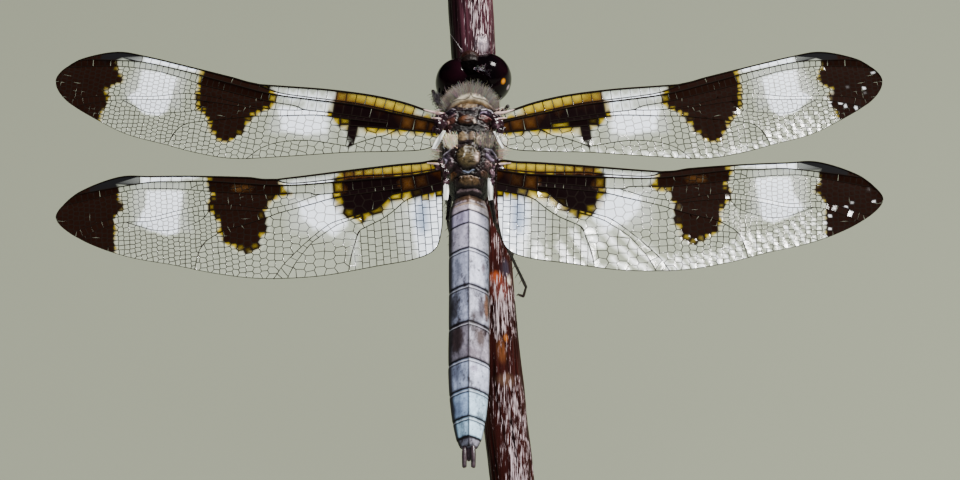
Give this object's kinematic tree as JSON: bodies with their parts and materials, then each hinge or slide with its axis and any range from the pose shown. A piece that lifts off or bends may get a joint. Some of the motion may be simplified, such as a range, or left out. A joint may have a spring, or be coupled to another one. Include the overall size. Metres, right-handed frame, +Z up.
{
  "type": "dragonfly",
  "caption": "Life-size still dragonfly with spread banded wings, gripping a short cut twig that a round display stand holds upright.",
  "frame": {"origin": "centre of the stand's flat underside", "axes": "+Z up; +X to the insect's right along the wingspan; the insect shows its back towards -Y"},
  "size_m": [0.0952, 0.06, 0.0719],
  "materials": {
    "wing_membrane": "thin clear membrane with dark brown and milky white bands and a net of fine black veins",
    "thorax_shell": "brown chitin with short pale hair",
    "abdomen_shell": "bluish white waxy bloom over brown chitin, dark sutures",
    "head_shell": "satin brown chitin",
    "eye": "very dark maroon, glossy, finely faceted",
    "leg_shell": "black chitin with fine spines",
    "bark": "reddish brown wrinkled bark with a light sheen",
    "base_wood": "turned dark wood, satin lacquer",
    "pillar_brass": "turned and polished"
  },
  "bodies": {
    "root": {"head": "head_shell", "mouthparts": "head_shell", "prothorax": "thorax_shell", "eye_left": "eye", "eye_right": "eye", "antenna_left": "leg_shell", "antenna_right": "leg_shell", "thorax": "thorax_shell", "wing_fore_left": "wing_membrane", "wing_fore_right": "wing_membrane", "wing_hind_left": "wing_membrane", "wing_hind_right": "wing_membrane", "leg_fore_left_femur": "leg_shell", "leg_fore_left_tibia": "leg_shell", "leg_fore_left_tarsus": "leg_shell", "leg_fore_right_femur": "leg_shell", "leg_fore_right_tibia": "leg_shell", "leg_fore_right_tarsus": "leg_shell", "leg_middle_left_femur": "leg_shell", "leg_middle_left_tibia": "leg_shell", "leg_middle_left_tarsus": "leg_shell", "leg_middle_right_femur": "leg_shell", "leg_middle_right_tibia": "leg_shell", "leg_middle_right_tarsus": "leg_shell", "leg_hind_left_femur": "leg_shell", "leg_hind_left_tibia": "leg_shell", "leg_hind_left_tarsus": "leg_shell", "leg_hind_right_femur": "leg_shell", "leg_hind_right_tibia": "leg_shell", "leg_hind_right_tarsus": "leg_shell", "abdomen_1": "abdomen_shell", "abdomen_2": "abdomen_shell", "abdomen_3": "abdomen_shell", "abdomen_4": "abdomen_shell", "abdomen_5": "abdomen_shell", "abdomen_6": "abdomen_shell", "abdomen_7": "abdomen_shell", "abdomen_8": "abdomen_shell", "abdomen_9": "abdomen_shell", "abdomen_10": "abdomen_shell", "cercus_left": "leg_shell", "cercus_right": "leg_shell", "epiproct": "leg_shell", "perch_stem": "bark", "stand_base": "base_wood", "stand_pillar": "pillar_brass"}
  },
  "joints": []
}
